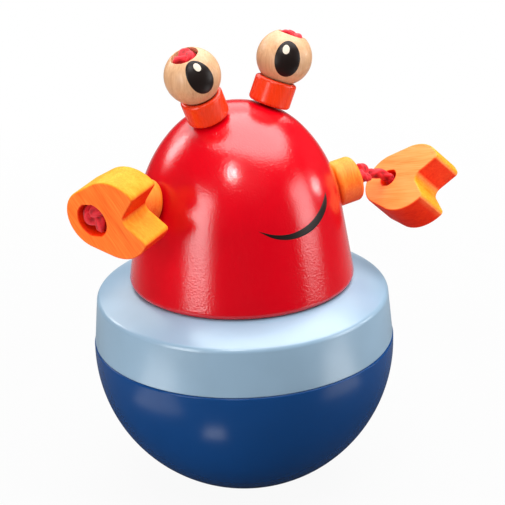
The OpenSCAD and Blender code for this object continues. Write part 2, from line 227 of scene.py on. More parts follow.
def ramp(tree, value, stops):
    """Colour ramp: pairs of place and colour, in rising order."""
    node = add(tree, "ShaderNodeValToRGB", {"Fac": value})
    bars = node.color_ramp.elements
    while len(bars) < len(stops):
        bars.new(0.5)
    for bar, (place, colour) in zip(bars, stops):
        bar.position, bar.color = place, colour
    return node.outputs["Color"]


def between(tree, value, low, high, start=0.3, end=0.7):
    """Value stretched from a span, by default the usual span of noise, to a new one."""
    feeds = {"Value": value, "From Min": start, "From Max": end, "To Min": low, "To Max": high}
    return add(tree, "ShaderNodeMapRange", feeds).outputs["Result"]


def bump(tree, height, depth, under=None):
    """Surface normal from a height, as deep as it says in millimetres, over another normal."""
    feeds = {"Height": height, "Distance": depth * MM, "Strength": 1.0}
    if under is not None:
        feeds["Normal"] = under
    return add(tree, "ShaderNodeBump", feeds).outputs["Normal"]


print("screen grey 128 is", round(float(linear(128, 128, 128)[0]), 3), "to a shader")

# %% [markdown]
# ## Finishes: turned and painted wood
# The base, collar, dome and stalks are turned wood under a glossy paint. Paint could be one
# flat colour, but real paint over wood shows three things: faint clouds in the colour, a
# fine orange-peel in the gloss, and grain lines that print through along the wood. The peel
# is deepest on the dome, where it breaks the edges of the highlights into fine sparkle.

# %% Paint
CLOUD_WAVES, LINE_WAVES, SKIN_WAVES = 55.0, 1100.0, 2000.0
LONG_GRAIN = (1, 1, 0.05)
CLOUDS = ((0.3, 0.93), (0.55, 1.0), (0.75, 1.05))


def painted(name, colour, rough, grain, peel, gloss):
    """Paint on wood: clouded colour, grain lines along Z and orange-peel, both as deep as given."""
    finish, tree, shader = new_finish(name)
    clouds = noise(tree, CLOUD_WAVES, detail=3.0)
    lines = noise(tree, LINE_WAVES, detail=4.0, stretch=LONG_GRAIN)
    skin = noise(tree, SKIN_WAVES, detail=1.0)
    stops = [(place, shade(colour, share)) for place, share in CLOUDS]
    tree.links.new(ramp(tree, clouds, stops), shader.inputs["Base Color"])
    tree.links.new(between(tree, lines, *rough), shader.inputs["Roughness"])
    tree.links.new(bump(tree, skin, peel, bump(tree, lines, grain)), shader.inputs["Normal"])
    shader.inputs["Specular IOR Level"].default_value = gloss
    return finish


base_paint = painted(
    "base_paint", linear(12, 59, 113), rough=(0.22, 0.26), grain=0.001, peel=0.002, gloss=0.2
)
collar_paint = painted(
    "collar_paint", linear(134, 161, 182), rough=(0.277, 0.283), grain=0.0001, peel=0.001, gloss=0.9
)
dome_paint = painted(
    "dome_paint", linear(204, 0, 20), rough=(0.16, 0.19), grain=0.0008, peel=0.047, gloss=0.75
)
stalk_paint = painted(
    "stalk_paint", linear(232, 56, 14), rough=(0.22, 0.32), grain=0.003, peel=0.003, gloss=0.5
)
print_black = painted(
    "print_black", linear(28, 20, 18), rough=(0.3, 0.4), grain=0.001, peel=0.002, gloss=0.25
)
print_pale = painted(
    "print_pale", linear(222, 208, 190), rough=(0.3, 0.4), grain=0.001, peel=0.002, gloss=0.3
)
print("six painted finishes")

# %% [markdown]
# ## Finishes: dyed and bare wood
# The claws and arm beads are dyed, not painted, so fine lines of grain show through the
# orange. Surfaces that face up get paler, yellower tones as painted light, and surfaces that
# face down and the bores get deeper red tones as painted shade. A mark on the points, from -1
# to 1, mixes the lit tones in below 0 and the shaded tones in above 0. The eyes are bare beech
# under clear varnish. Both could use a wave pattern, but stretched noise gives broken, uneven
# lines that look more like a cut through real wood.

# %% Wood
FINE_WAVES, BROAD_WAVES, BROAD_SHARE = 2600.0, 420.0, 0.45
BROAD_GRAIN = (1, 1, 0.08)
GRAIN_DEPTH = 0.006
TONE_PLACES = (0.68, 0.5, 0.33)


def grain_angles(way):
    """Mapping angles that turn a direction to the Z axis, so that grain runs along it."""
    return (math.atan2(way[1], way[2]), -math.asin(way[0]), 0.0)


def mix_colours(tree, share, under, over):
    """Colour between two; a mix node has a socket of each name for every kind of value."""
    node = add(tree, "ShaderNodeMix", data_type="RGBA")
    feeds = {"Factor": share, "A": under, "B": over}
    for socket in node.inputs:
        if socket.enabled and socket.name in feeds:
            tree.links.new(feeds[socket.name], socket)
    return next(socket for socket in node.outputs if socket.enabled)


def wooden(name, tones, lit_and_shaded_tones=(), grain=(0, 0, 1), rough=(0.28, 0.42), gloss=0.4):
    """Wood: pale, middle and deep tones by grain lines, then painted light tones at mark -1 and painted
    shade tones at mark 1.
    """
    finish, tree, shader = new_finish(name)
    angles = grain_angles(grain)
    fine = noise(tree, FINE_WAVES, detail=3.0, stretch=LONG_GRAIN, angles=angles, distort=0.3)
    broad = noise(tree, BROAD_WAVES, detail=2.0, stretch=BROAD_GRAIN, angles=angles, distort=0.6)
    both = add(tree, "ShaderNodeMix", {"Factor": BROAD_SHARE, "A": fine, "B": broad}).outputs["Result"]
    colour = ramp(tree, both, sorted(zip(TONE_PLACES, tones)))
    # Painted light and shade: the first extra tones are mixed in towards mark -1, the second towards mark
    # 1.
    for full, painted_tones in zip((-1.0, 1.0), lit_and_shaded_tones):
        painted_light_shade = add(tree, "ShaderNodeAttribute", attribute_name="painted_light_shade").outputs["Fac"]
        share = between(tree, painted_light_shade, 0.0, 1.0, 0.0, full)
        colour = mix_colours(tree, share, colour, ramp(tree, both, sorted(zip(TONE_PLACES, painted_tones))))
    tree.links.new(colour, shader.inputs["Base Color"])
    tree.links.new(between(tree, fine, rough[1], rough[0]), shader.inputs["Roughness"])
    tree.links.new(bump(tree, fine, GRAIN_DEPTH), shader.inputs["Normal"])
    shader.inputs["Specular IOR Level"].default_value = gloss
    return finish


print("grain along Y is turned", round(math.degrees(grain_angles((0, 1, 0))[0])), "degrees about X")

# %% Bare wood and stains
BEAD_GRAIN = (0.2, 0.6, 0.77)
beech = (linear(214, 172, 132), linear(204, 159, 119), linear(190, 142, 102))
stain = (linear(250, 134, 52), linear(245, 114, 36), linear(237, 94, 22))
# Paler tones of the stain for the right claw's face: painted light for a face lit from above.
lit_face_stain = (linear(252, 156, 88), linear(249, 142, 72), linear(244, 122, 52))
# Painted light and painted shade: paler, yellower tones where surfaces face up, deep red tones where they
# face down and in the bores.
painted_lit_stain = (linear(254, 162, 48), linear(252, 146, 32), linear(248, 130, 18))
painted_shade_stain = (linear(240, 54, 2), linear(234, 40, 0), linear(222, 30, 0))
lit_and_shaded_stains = (painted_lit_stain, painted_shade_stain)
bare_wood = wooden("bare_wood", beech)
bead_stain_and_light = wooden("bead_stain_and_light", stain, lit_and_shaded_stains, BEAD_GRAIN, rough=(0.4, 0.55), gloss=0.25)
print("two wooden finishes; the claws get theirs with their grain")

# %% [markdown]
# ## Finish: braided cord
# The cord is a tight braid of red yarn. A pattern could draw the yarns, but here the braid is
# shape, made with the cords below, which leave a mark on each point of how high it lies. So
# the finish paints shade into the low points between the yarns, and adds fine fibres and a sheen.

# %% Cord finish
FIBRE_WAVES, FIBRE_SHARE, FIBRE_DEPTH = 3400.0, 0.4, 0.06
# Painted shade: the low points between the yarns are a darker red than the tops.
YARN_SHADE_STOPS = ((0.12, linear(120, 2, 14)), (0.42, linear(196, 10, 28)), (0.8, linear(222, 36, 50)))

cord_yarn, tree, shader = new_finish("cord_yarn")
lay = add(tree, "ShaderNodeAttribute", attribute_name="lay").outputs["Fac"]
fibres = noise(tree, FIBRE_WAVES, detail=3.0)
mixed = add(tree, "ShaderNodeMix", {"Factor": FIBRE_SHARE, "A": lay, "B": fibres}).outputs["Result"]
tree.links.new(ramp(tree, mixed, YARN_SHADE_STOPS), shader.inputs["Base Color"])
tree.links.new(bump(tree, fibres, FIBRE_DEPTH), shader.inputs["Normal"])
shader.inputs["Roughness"].default_value = 0.62
shader.inputs["Sheen Weight"].default_value = 0.12
shader.inputs["Specular IOR Level"].default_value = 0.3
print("cord finish of", len(tree.nodes), "nodes")

# %% [markdown]
# ## Ballast and dowel
# A turned steel slug low in the base rights the toy, and a dowel joins collar and dome.
# Both are shut in. They could be dressed like the rest, but nothing shows them, so they keep
# their solids and only get a finish.

# %% Hidden solids
TOOL_WAVES, TOOL_DEPTH = 900.0, 0.004
ROUND_LINES = (0.1, 0.1, 1)

steel, tree, shader = new_finish("steel")
tool_lines = noise(tree, TOOL_WAVES, detail=3.0, stretch=ROUND_LINES)
tree.links.new(between(tree, tool_lines, 0.25, 0.45), shader.inputs["Roughness"])
tree.links.new(bump(tree, tool_lines, TOOL_DEPTH), shader.inputs["Normal"])
shader.inputs["Base Color"].default_value = linear(172, 174, 178)
shader.inputs["Metallic"].default_value = 1.0
for node, finish in (("ballast_weight", steel), ("centre_dowel", bare_wood)):
    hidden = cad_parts[node]
    hidden.data.materials.clear()
    hidden.data.materials.append(finish)
    print(node, "in", finish.name)

# %% [markdown]
# ## Base
# The base is turned on a lathe: a cutter follows one outline while the wood spins. A sphere
# could be cut in half, but a half outline carried round the axis is the lathe's own way, and
# takes in the small flat that lets the toy stand still, the rounded edge at the seam and the
# well for the ballast.

# %% Base
SEAM_Z = 44.1
FLAT_R, BASE_EDGE, BASE_TOP_R = 4.0, 0.5, 41.3
WELL_R, WELL_FLOOR = 22.1, 9.0


def arc(mid, r, start, end, n):
    """Points of a circle: middle plus r times (cos a, sin a), for n angles in degrees."""
    a = np.radians(np.linspace(start, end, n))
    return np.stack([mid[0] + r * np.cos(a), mid[1] + r * np.sin(a)], -1)


def turned(*outline, place=None, sides=192):
    """Turned surface: (r cos t, r sin t, z) for every outline point (r, z) and every angle t."""
    outline = np.concatenate([np.asarray(part, float) for part in outline])
    t = np.linspace(0, 2 * np.pi, sides, endpoint=False)
    r, z = outline[:, :1], outline[:, 1:]
    local = np.stack([r * np.cos(t), r * np.sin(t), z + 0 * t], -1)
    return local if place is None else place(local)


base_mid = math.sqrt(BALL_R**2 - FLAT_R**2)
foot_from = math.degrees(math.asin(FLAT_R / BALL_R)) - 90
base = turned(
    [(0, 0), (FLAT_R / 2, 0)],
    arc((0, base_mid), BALL_R, foot_from, 0, 72),
    arc((BALL_R - BASE_EDGE, SEAM_Z - BASE_EDGE), BASE_EDGE, 0, 90, 10),
    [(BASE_TOP_R, SEAM_Z), (WELL_R, SEAM_Z), (WELL_R, WELL_FLOOR), (0, WELL_FLOOR)],
)
make_piece("blue_base", base, "toy", base_paint, ["base_bowl"])

# %% [markdown]
# ## Collar
# The collar is a turned disc whose spigot shuts the well. Its wall leans in a little, and its
# top falls from the dome's foot to a low rounded rim. A flat top with a bevel would be
# simpler, but the picture's soft light on the top shows a curve, so it is one wide arc that
# meets the rim's arc.

# %% Collar
DOME_Z = 61.2
SPIGOT_R, SPIGOT_END, COLLAR_UNDER_R = 22.0, 31.1, 41.1
COLLAR_R, COLLAR_EDGE, COLLAR_TOP_R = 41.75, 0.4, 30.2
RIM_MID, RIM_R, RIM_FROM, RIM_TO = (38.85, 56.1), 1.8, 5, 62
SLOPE_MID, SLOPE_R, SLOPE_TO = (21.62, 23.71), 38.5, 76.6
DOWEL_R, DOWEL_FLOOR = 9.1, 41.1

collar = turned(
    [(0, SPIGOT_END), (SPIGOT_R, SPIGOT_END), (SPIGOT_R, SEAM_Z), (COLLAR_UNDER_R, SEAM_Z)],
    arc((COLLAR_R - COLLAR_EDGE, SEAM_Z + COLLAR_EDGE), COLLAR_EDGE, -90, 0, 10),
    arc(RIM_MID, RIM_R, RIM_FROM, RIM_TO, 20),
    arc(SLOPE_MID, SLOPE_R, RIM_TO, SLOPE_TO, 24),
    [(COLLAR_TOP_R, DOME_Z), (DOWEL_R, DOME_Z), (DOWEL_R, DOWEL_FLOOR), (0, DOWEL_FLOOR)],
)
make_piece("pale_collar", collar, "toy", collar_paint, ["collar_disc"])

# %% [markdown]
# ## Dome
# The dome's outline has three parts, each tangent to the next: a straight wall that leans in
# by 9.3 degrees, a wide shoulder arc, and a round crown. A spline could draw it freehand,
# but arcs keep the gloss clean, because their curvature changes only at two places.

# %% Dome
TAPER, FOOT_R, WALL_L, SHOULDER_R, CROWN_FROM = 9.3, 31.3, 23.0, 37.6, 42.2
FOOT_EDGE, FOOT_ROW, FOOT_UNDER_R, CHAMBER_H = 1.5, 2.2, 29.0, 36.0

sin_t, cos_t = math.sin(math.radians(TAPER)), math.cos(math.radians(TAPER))
tan_t, tan_crown = sin_t / cos_t, math.tan(math.radians(CROWN_FROM))
wall_h = WALL_L * cos_t
shoulder_x = FOOT_R - WALL_L * sin_t - SHOULDER_R * cos_t
shoulder_z = wall_h - SHOULDER_R * sin_t
crown_r = shoulder_x / math.cos(math.radians(CROWN_FROM)) + SHOULDER_R
crown_z = DOME_Z + shoulder_z - shoulder_x * tan_crown
chamber_top = DOME_Z + CHAMBER_H
edge_x = FOOT_R - FOOT_EDGE * (1 + sin_t) / cos_t
dome = turned(
    [(0, chamber_top), (DOWEL_R, chamber_top), (DOWEL_R, DOME_Z), (FOOT_UNDER_R, DOME_Z)],
    arc((edge_x, DOME_Z + FOOT_EDGE), FOOT_EDGE, -90, TAPER, 12),
    [(FOOT_R - FOOT_ROW * tan_t, DOME_Z + FOOT_ROW)],
    arc((shoulder_x, DOME_Z + shoulder_z), SHOULDER_R, TAPER, CROWN_FROM, 60),
    arc((0, crown_z), crown_r, CROWN_FROM, 90, 60)[1:],
)
make_piece("red_dome", dome, "toy", dome_paint, ["dome_body"])

# %% [markdown]
# ## Smile
# The smile is printed on the dome: one stroke that swells and runs out to points, higher at
# its right end. It could be a texture, but a print has an edge and a gloss of its own, so it
# is a pad 0.05 mm high that follows the dome. Its middle line, as azimuths and heights, and
# its half width are smooth curves through a few measured places.

# %% Smile
SMILE_LINE = (
    (-22.0, 84.75), (-13.4, 82.85), (-5.0, 82.05), (3.4, 82.25),
    (11.8, 83.25), (19.6, 85.1), (26.2, 87.5), (29.4, 89.85),
)
SMILE_HALF = (0, 0.46, 0.72, 0.92, 1.1, 1.15, 0.9, 0)
SMILE_R, PAD_HIGH, PAD_EDGE, PAD_BACK, THIN_UNDER = 27.2, 0.05, 0.04, -0.15, 0.3


def through(values, u):
    """Smooth curve through evenly spaced values: a cubic between each pair, slopes by neighbours."""
    v = np.asarray(values, float)
    slope = np.gradient(v, axis=0)
    x = np.clip(u, 0, 1) * (len(v) - 1)
    k = np.minimum(x.astype(int), len(v) - 2)
    t = (x - k).reshape((-1,) + (1,) * (v.ndim - 1))
    return (
        v[k] * (1 - t) ** 2 * (1 + 2 * t) + v[k + 1] * t**2 * (3 - 2 * t)
        + slope[k] * t * (1 - t) ** 2 - slope[k + 1] * t**2 * (1 - t)
    )


def on_dome(azimuth, z, lift):
    """Point of the dome's wall: (R sin a, -R cos a, z), with R its radius at z plus the lift."""
    h = z - DOME_Z
    bow = shoulder_x + np.sqrt(np.maximum(SHOULDER_R**2 - (h - shoulder_z) ** 2, 0))
    r = np.where(h <= wall_h, FOOT_R - h * tan_t, bow) + lift
    return np.stack([r * np.sin(azimuth), -r * np.cos(azimuth), z], -1)


u = np.linspace(0, 1, 120)
line, half = through(SMILE_LINE, u), through(SMILE_HALF, u)
flat_x, flat_z = np.radians(line[:, 0]) * SMILE_R, line[:, 1]
along = unit(np.stack([np.gradient(flat_x), np.gradient(flat_z)], -1))
over = np.linspace(-1, 1, 9)
loop = np.concatenate([over, over[::-1]])
lift = np.concatenate([PAD_HIGH - PAD_EDGE * over**8, np.full(len(over), PAD_BACK)])
wide = np.clip(half, 0, None)[:, None] * loop
smile = on_dome(
    (flat_x[:, None] - along[:, 1:] * wide) / SMILE_R,
    flat_z[:, None] + along[:, :1] * wide,
    lift * np.minimum(1, half / THIN_UNDER)[:, None],
)
make_piece("printed_smile", smile, "toy", print_black)

# %% [markdown]
# ## Eye stalks and eyes
# Each eye is a drilled ball on a bead, threaded on the cord. The bead's top is dished, so
# the ball sits in it. Both could be made upright and then turned as objects, but a piece's
# object stays unturned, so the points are turned to the eye's own axis, which tilts out and
# a little forward. The ball's top has a counterbore, where the cord's knot hides.

# %% Turns
SIDES = ("left", "right")
EYE_TILT, EYE_NOD = 22.0, 3.5


def spun(x, y, z):
    """Turn matrix by x, then y, then z degrees, each about its fixed axis."""
    a, b, c = np.radians([x, y, z])
    rx = np.array([[1, 0, 0], [0, math.cos(a), -math.sin(a)], [0, math.sin(a), math.cos(a)]])
    ry = np.array([[math.cos(b), 0, math.sin(b)], [0, 1, 0], [-math.sin(b), 0, math.cos(b)]])
    rz = np.array([[math.cos(c), -math.sin(c), 0], [math.sin(c), math.cos(c), 0], [0, 0, 1]])
    return rz @ ry @ rx


def placed(turn, origin):
    """Mapping of local points: turned by a matrix, then moved to an origin."""
    return lambda p: p @ turn.T + origin


nod = spun(EYE_NOD, 0, 0)
eye_turn = {"left": nod @ spun(0, -EYE_TILT, 0), "right": nod @ spun(0, EYE_TILT, 0)}
crown_mid = crown_z * UP
print("the left eye's axis points to", eye_turn["left"][:, 2].round(2))

# %% Stalks and balls
CORD_HOLE_R = 2.1
STALK_GAP, STALK_L, STALK_R, STALK_EDGE, STALK_UNDER_R = 0.3, 7.0, 5.75, 0.9, 4.4
EYE_R, EYE_SINK, DISH_GAP, DISH_R = 7.5, 1.3, 0.3, 4.7
EYE_CUP_R, EYE_CUP_FLOOR, EYE_MOUTH_R = 3.7, 2.6, 3.85
EYE_MOUTH = ((3.76, 6.4), (EYE_CUP_R, 6.25))
ROW_GAP = 0.3


def width_angle(r, ball_r):
    """Angle from the level, in degrees, at which a ball is r wide: the arc cosine of r / ball_r."""
    return math.degrees(math.acos(r / ball_r))


stalk_z = crown_r + STALK_GAP
top = stalk_z + STALK_L
eye_z = top + EYE_R - EYE_SINK
dish, round_r, row = EYE_R + DISH_GAP, STALK_R - STALK_EDGE, STALK_EDGE + ROW_GAP
cup = EYE_MOUTH + ((EYE_CUP_R, EYE_CUP_FLOOR), (CORD_HOLE_R, EYE_CUP_FLOOR))
for side in SIDES:
    place = placed(eye_turn[side], crown_mid)
    stalk = turned(
        [(CORD_HOLE_R, stalk_z), (STALK_UNDER_R, stalk_z)],
        arc((round_r, stalk_z + STALK_EDGE), STALK_EDGE, -90, 0, 12),
        [(STALK_R, stalk_z + row), (STALK_R, top - row)],
        arc((round_r, top - STALK_EDGE), STALK_EDGE, 0, 90, 12),
        arc((0, eye_z), dish, -width_angle(DISH_R, dish), -width_angle(CORD_HOLE_R, dish), 16),
        place=place, sides=128,
    )
    solid = [side + "_eye_stalk"]
    make_piece(side + "_stalk_bead", stalk, side + "_stalk", stalk_paint, solid, BOTH_WAYS)
    ball = turned(
        arc((0, eye_z), EYE_R, -width_angle(CORD_HOLE_R, EYE_R), width_angle(EYE_MOUTH_R, EYE_R), 90),
        [(r, eye_z + z) for r, z in cup],
        place=place, sides=160,
    )
    solid = [side + "_eye"]
    make_piece(side + "_eye_ball", ball, side + "_ball", bare_wood, solid, BOTH_WAYS)

# %% [markdown]
# ## Pupils
# The pupils are printed ovals that wrap the ball, each with a pale oval in it as a glint.
# They could be painted as a texture, but an oval drawn by angles needs no image: from the
# middle of the print, each point goes out along the ball by an angle that depends on its
# direction. The pad has a rounded rim and a hidden back, so it is a closed skin like the rest.

# %% Pupils
# Longitude, latitude, half width, half height and lean of each print, in degrees
PUPILS = {"left": (-7.0, 19.0, 26.0, 38.5, 7.0), "right": (-29.5, 3.5, 27.0, 39.5, 12.0)}
GLINTS = {"left": (-2.0, 39.5, 7.0, 9.6, 7.0), "right": (-39.0, 21.5, 7.5, 10.3, 12.0)}
OVAL_BACK, BACK_ROWS, RIM_POWER = -0.2, 8, 24


def ball_print(side, lon, lat, wide, tall, lean, egg, lift, rings, cols):
    """Oval pad on a ball: angle out = ring share of the oval's radius, wrapped on the sphere."""
    turn = eye_turn[side]
    mid = turn @ heading(lon, lat)
    north = unit(turn[:, 2] - (turn[:, 2] @ mid) * mid)
    east = np.cross(north, mid)
    t = np.linspace(0, 2 * np.pi, cols, endpoint=False)
    x, y = wide * np.sin(t) * (1 - egg * np.cos(t)), tall * np.cos(t)
    c, s = math.cos(math.radians(lean)), math.sin(math.radians(lean))
    x, y = x * c - y * s, x * s + y * c
    outward = np.linspace(0, 1, rings)
    share = np.concatenate([outward, np.linspace(1, 0, BACK_ROWS)])[:, None]
    high = np.concatenate([lift * (1 - outward**RIM_POWER), np.full(BACK_ROWS, OVAL_BACK)])[:, None]
    out, way = np.radians(np.hypot(x, y)) * share, np.arctan2(y, x)[:, None]
    aim = mid * np.cos(out)[..., None]
    aim = aim + (east * np.cos(way) + north * np.sin(way)) * np.sin(out)[..., None]
    return turn @ (eye_z * UP) + crown_mid + aim * (EYE_R + high)[..., None]


for side in SIDES:
    pupil = ball_print(side, *PUPILS[side], egg=0.06, lift=0.05, rings=28, cols=96)
    make_piece(side + "_pupil", pupil, side + "_ball", print_black)
    glint = ball_print(side, *GLINTS[side], egg=0.05, lift=0.08, rings=14, cols=64)
    make_piece(side + "_glint", glint, side + "_ball", print_pale)

# %% [markdown]
# ## Arm beads
# A bead stands off each side of the dome and keeps the claw away from it. It is turned like
# the stalks, with a rounder edge and a small chamfer at both mouths of its bore. The left
# arm hole is higher than the right one, as in the picture. A cylinder could be placed by eye,
# but here the dome's own slope at the hole gives the bead's direction.

# %% Beads
# Height of the arm hole over the dome's foot, and its direction about Z in degrees
ARMS = {"left": (27.2, 179.0), "right": (21.8, -9.0)}
BEAD_R, BEAD_EDGE, BEAD_FROM, BEAD_TO, BEAD_MOUTH = 6.4, 1.2, 0.4, 7.6, 0.4
BEAD_LIGHT_SHADE = 0.85

arm_foot, arm_way, arm_turn = {}, {}, {}
mouth_r, round_r, row = CORD_HOLE_R + BEAD_MOUTH, BEAD_R - BEAD_EDGE, BEAD_EDGE + ROW_GAP
for side in SIDES:
    height, about = ARMS[side]
    slope = TAPER if height <= wall_h else math.degrees(math.asin((height - shoulder_z) / SHOULDER_R))
    turn = spun(0, 90 - slope, about)
    arm_turn[side], arm_way[side] = turn, turn[:, 2]
    arm_foot[side] = on_dome(math.radians(about + 90), DOME_Z + height, 0.0)
    bead = turned(
        [(CORD_HOLE_R, BEAD_FROM + BEAD_MOUTH), (mouth_r, BEAD_FROM), (BEAD_R - row, BEAD_FROM)],
        arc((round_r, BEAD_FROM + BEAD_EDGE), BEAD_EDGE, -90, 0, 14),
        [(BEAD_R, BEAD_FROM + row), (BEAD_R, BEAD_TO - row)],
        arc((round_r, BEAD_TO - BEAD_EDGE), BEAD_EDGE, 0, 90, 14),
        [(BEAD_R - row, BEAD_TO), (mouth_r, BEAD_TO), (CORD_HOLE_R, BEAD_TO - BEAD_MOUTH)],
        place=placed(turn, arm_foot[side]), sides=128,
    )
    t = np.linspace(0, 2 * np.pi, bead.shape[1], endpoint=False)
    # Painted light on the bead's upper side and painted shade on its lower side, by how each column faces
    # up or down.
    painted_light_shade = -BEAD_LIGHT_SHADE * (turn[2, 0] * np.cos(t) + turn[2, 1] * np.sin(t))
    marks = {"painted_light_shade": np.tile(painted_light_shade, (len(bead), 1))}
    solid = [side + "_arm_bead"]
    make_piece(side + "_bead_ring", bead, side + "_bead", bead_stain_and_light, solid, BOTH_WAYS, marks)

# %% [markdown]
# ## Claws
# A claw is cut from a flat board: a round rear end with the hole, two full cheeks and a
# V-shaped jaw. Its edges are sanded round. A Bevel modifier could round a sawn outline, but
# here one closed profile runs through the bore, over the inner face, round the edge, and
# back over the outer face into the counterbore. Each point of the outline carries it, so
# the whole claw is a single grid.

# %% Claw outline
REAR_R, CHEEK_R, CHEEK_X = 8.4, 11.0, 7.2
NOTCH_X, NOTCH_HALF, NOTCH_R, TIP_R = 10.7, 44.0, 2.2, 1.2
SAME_POINT = 1e-4


def straight(a, b, n):
    """n points evenly from a to b."""
    return a + (b - a) * np.linspace(0, 1, n)[:, None]


def edge_arc(mid, r, start, end, n, side=1):
    """Arc of an outline: its points and its outward directions, with side -1 in a hollow."""
    d = arc((0, 0), 1.0, start, end, n)
    return np.concatenate([np.asarray(mid) + r * d, side * d], 1)


def claw_outline():
    """Outline points and outward directions: rear, cheek, tip, jaw wall and notch, then mirrored."""
    flank = 90 + math.degrees(math.asin((CHEEK_R - REAR_R) / CHEEK_X))
    c, s = math.cos(math.radians(NOTCH_HALF)), math.sin(math.radians(NOTCH_HALF))
    wall, out = np.array([c, s]), np.array([s, -c])
    notch_mid, cheek_mid = np.array([NOTCH_X + NOTCH_R, 0.0]), np.array([CHEEK_X, 0.0])
    start = notch_mid - (NOTCH_R + TIP_R) * out
    gap = start - cheek_mid
    reach = math.sqrt((gap @ wall) ** 2 - gap @ gap + (CHEEK_R - TIP_R) ** 2) - gap @ wall
    tip_mid = start + reach * wall
    tip_from = math.degrees(math.atan2(tip_mid[1], tip_mid[0] - CHEEK_X))
    rear = edge_arc((0, 0), REAR_R, 180, flank, 32)
    cheek = edge_arc(cheek_mid, CHEEK_R, flank, tip_from, 40)
    tip = edge_arc(tip_mid, TIP_R, tip_from, NOTCH_HALF - 90, 14)
    notch = edge_arc(notch_mid, NOTCH_R, 90 + NOTCH_HALF, 180, 14, -1)
    run = straight(tip[-1, :2], notch[0, :2], 10)[1:-1]
    jaw = np.concatenate([run, np.tile(out, (len(run), 1))], 1)
    half = np.concatenate([rear, cheek, tip, jaw, notch])
    moved = np.linalg.norm(np.diff(half[:, :2], axis=0), axis=1) > SAME_POINT
    half = half[np.r_[True, moved]]
    return np.concatenate([half, half[-2:0:-1] * [1, -1, 1, -1]])


print("claw outline of", len(claw_outline()), "points")

# %% [markdown]
# The profile's rows are rings in the bore, a face, the edge and wall, the other face, and rings
# in the counterbore. Each row also carries the mark of painted light and shade: none on the
# faces, full painted shade in the bores, and on the wall from painted light to painted shade
# by how far it faces up or down as the claw hangs.

# %% Claw grid
CLAW_T, CLAW_EDGE, BORE_R, CUP_R, CUP_Z = 10.0, 0.45, 2.55, 4.55, 4.0
# How far each row of a bore's mouth lies out of the bore and under the face
MOUTH_ROWS = ((0.0, 0.4), (0.15, 0.12), (0.4, 0.0))
FACE_GAP, FACE_SHARES, WALL_ROWS = 0.5, (0, 0.35, 0.7, 0.95), (2.0, 5.0, 8.0)
LIGHT_SHADE_SLOPE = 3.2


def claw_grid(turn):
    """Claw: each outline point carries the profile from the bore over both faces to the counterbore."""
    outline = claw_outline()
    p, n = outline[:, :2], outline[:, 2:]
    spoke, rim, plain = unit(p), p - CLAW_EDGE * n, np.zeros(len(p))
    # Painted light on walls that face up as the claw hangs, painted shade on walls that face down.
    lean = np.clip(-LIGHT_SHADE_SLOPE * n @ turn[2, :2], -1, 1)
    quarter = np.radians(np.linspace(90, 0, 9))
    edge = list(zip(CLAW_EDGE * (1 - np.cos(quarter)), CLAW_EDGE * (1 - np.sin(quarter))))
    wall = edge + [(0.0, z) for z in WALL_ROWS] + [(inset, CLAW_T - z) for inset, z in edge[::-1]]
    bore = [(BORE_R, CUP_Z)] + [(BORE_R + out, deep) for out, deep in MOUTH_ROWS]
    cup = [(CUP_R + out, CLAW_T - deep) for out, deep in MOUTH_ROWS[::-1]] + [(CUP_R, CUP_Z)]

    def face(hub, z):
        return [(spoke * hub * (1 - share) + rim * share, z, plain) for share in FACE_SHARES]

    # Rows in the bore and the counterbore carry the full mark: painted shade.
    rows = [(spoke * r, z, plain + (z > 0)) for r, z in bore]
    rows += face(BORE_R + FACE_GAP, 0.0)
    rows += [(p - inset * n, z, (1 - inset / CLAW_EDGE) * lean) for inset, z in wall]
    rows += face(CUP_R + FACE_GAP, CLAW_T)[::-1]
    rows += [(spoke * r, z, plain + (z < CLAW_T)) for r, z in cup]
    grid = np.stack([np.column_stack([xy, np.full(len(p), z)]) for xy, z, painted_light_shade in rows])
    return grid, {"painted_light_shade": np.stack([painted_light_shade for xy, z, painted_light_shade in rows])}


print("claw profile of", len(claw_grid(np.eye(3))[0]), "rows")

# %% [markdown]
# The cord leaves each bead along its axis, bends and enters the claw along the claw's axis.
# The two lengths and three angles are read from the picture. The right claw's board has paler
# tones, painted light for its face that is lit from above, and its grain runs along the claw;
# the left one's grain runs up across the face.

# %% Claws
# Free length out of the bead and into the claw, then drop, direction about Z and twist in degrees
CORDS = {"left": (2.9, 1.3, 99.2, 202.9, 99.2), "right": (7.4, 4.7, 133.6, -4.8, -112.4)}
LEFT_GRAIN = (-0.3, 0.46, 0.84)

claw_turn, claw_hole, bead_end, cord_bend = {}, {}, {}, {}
for side in SIDES:
    out_l, in_l, drop, about, twist = CORDS[side]
    claw_turn[side] = spun(0, drop, about) @ spun(0, 0, twist)
    bead_end[side] = arm_foot[side] + BEAD_TO * arm_way[side]
    cord_bend[side] = bead_end[side] + out_l * arm_way[side]
    claw_hole[side] = cord_bend[side] + in_l * claw_turn[side][:, 2]

looks = {"left": (stain, LEFT_GRAIN), "right": (lit_face_stain, claw_turn["right"][:, 0])}
for side in SIDES:
    tones, grain = looks[side]
    board = wooden(side + "_claw_stain_and_light", tones, lit_and_shaded_stains, unit(grain), rough=(0.42, 0.56), gloss=0.1)
    grid, marks = claw_grid(claw_turn[side])
    claw = placed(claw_turn[side], claw_hole[side])(grid)
    solid = [side + "_claw"]
    make_piece(side + "_claw_board", claw, side + "_claw", board, solid, BOTH_WAYS, marks)

# %% [markdown]
# ## Braided cord
# One cord runs across the dome through both arm beads and ends in a knot inside each claw;
# another runs up through both eyes. A braid is two families of yarns that wind opposite ways
# and pass over and under in turn. A plain tube with a texture would look smooth at its
# edge, so the yarns are raised out of the tube: at every point the higher of two ridges wins,
# and which family lies on top changes from crossing to crossing.

# %% Braid
CORD_R, YARNS, PITCH = 1.5, 3, 1.5
CORE, RIDGE = 0.76, 0.26
MEAN_TOP, TOP_SWAP = 0.78, 0.22


def length_of(path):
    """Length of a path along its points."""
    return float(np.linalg.norm(np.diff(path, axis=0), axis=1).sum())


